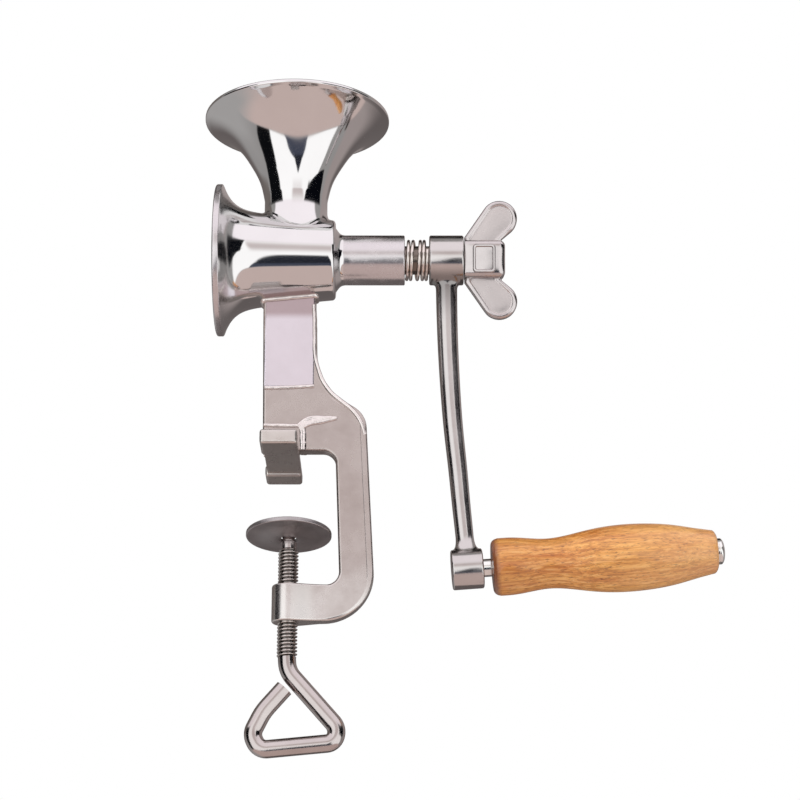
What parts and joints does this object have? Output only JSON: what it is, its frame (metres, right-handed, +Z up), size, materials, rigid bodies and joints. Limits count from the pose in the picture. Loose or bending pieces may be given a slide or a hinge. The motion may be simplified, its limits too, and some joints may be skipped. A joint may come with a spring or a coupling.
{
  "type": "hand crank peanut grinder",
  "caption": "Clamp-on hand mill in polished steel: bell hopper over a flared burr mouth, sprung crank with a turned wooden grip, wing nut for fineness and a C-frame clamp with a bent-rod screw.",
  "frame": {"origin": "middle of the upper jaw's lower face, which rests on the table top", "axes": "+Z up, +X from the flared mouth towards the crank, along the shaft's direction, +Y away from a viewer who sees the mouth at the left"},
  "size_m": [0.1859, 0.0682, 0.2391],
  "materials": {
    "polished_steel": "mirror-polished stainless steel",
    "cast_steel": "satin-polished cast stainless steel",
    "crank_steel": "polished forged stainless steel",
    "nut_steel": "polished rim with satin panels",
    "jaw_steel": "satin ground steel",
    "screw_steel": "polished rod with a bright rolled thread",
    "bright_steel": "bright machined steel",
    "burr_steel": "hardened cast steel, ground teeth",
    "spring_steel": "bright spring wire",
    "bush_bronze": "plain bearing bronze, bored",
    "grip_wood": "clear-varnished hardwood"
  },
  "bodies": {
    "frame": {"hopper": "polished_steel", "grinding_barrel": "polished_steel", "fixed_burr": "burr_steel", "boss_bush": "bush_bronze", "clamp_frame": "cast_steel", "jaw_bar": "jaw_steel"},
    "rotor": {"grinding_shaft": "bright_steel", "feed_auger": "burr_steel", "cone_burr": "burr_steel", "drive_key": "bright_steel", "burr_washer": "bright_steel", "burr_bolt": "bright_steel", "compression_spring": "spring_steel"},
    "crank": {"crank_arm": "crank_steel", "handle_pin": "bright_steel", "grip_end_washer": "bright_steel", "grip_cap": "bright_steel"},
    "grip": {"grip": "grip_wood"},
    "wing_nut": {"wing_nut": "nut_steel"},
    "pad": {"pad_disc": "jaw_steel"},
    "screw": {"clamp_screw": "screw_steel"}
  },
  "joints": [
    {"name": "crank_turn", "type": "hinge", "parent": "frame", "child": "rotor", "pos_m": [0, 0, 0.078], "axis": [1, 0, 0], "continuous": true},
    {"name": "crank_slide", "type": "slide", "parent": "rotor", "child": "crank", "axis": [1, 0, 0], "range_m": [-0.00225, 0.003], "deforming": ["compression_spring"]},
    {"name": "nut_turn", "type": "hinge", "parent": "crank", "child": "wing_nut", "pos_m": [0.0724, 0, 0.078], "axis": [1, 0, 0], "range_deg": [-541, 721]},
    {"name": "grip_spin", "type": "hinge", "parent": "crank", "child": "grip", "pos_m": [0.06545, 0, -0.0382], "axis": [0.9973, 0, 0.0732], "continuous": true},
    {"name": "pad_travel", "type": "slide", "parent": "frame", "child": "pad", "axis": [0, 0, 1], "range_m": [-0.015, 0.012]},
    {"name": "screw_turn", "type": "hinge", "parent": "pad", "child": "screw", "pos_m": [0.003, 0, -0.05], "axis": [0, 0, 1], "range_deg": [-4322, 3458]}
  ],
  "couplings": [
    {"joint": "nut_turn", "follows": "crank_slide", "rad_per_m": 4188.8},
    {"joint": "screw_turn", "follows": "pad_travel", "rad_per_m": 5026.5}
  ]
}
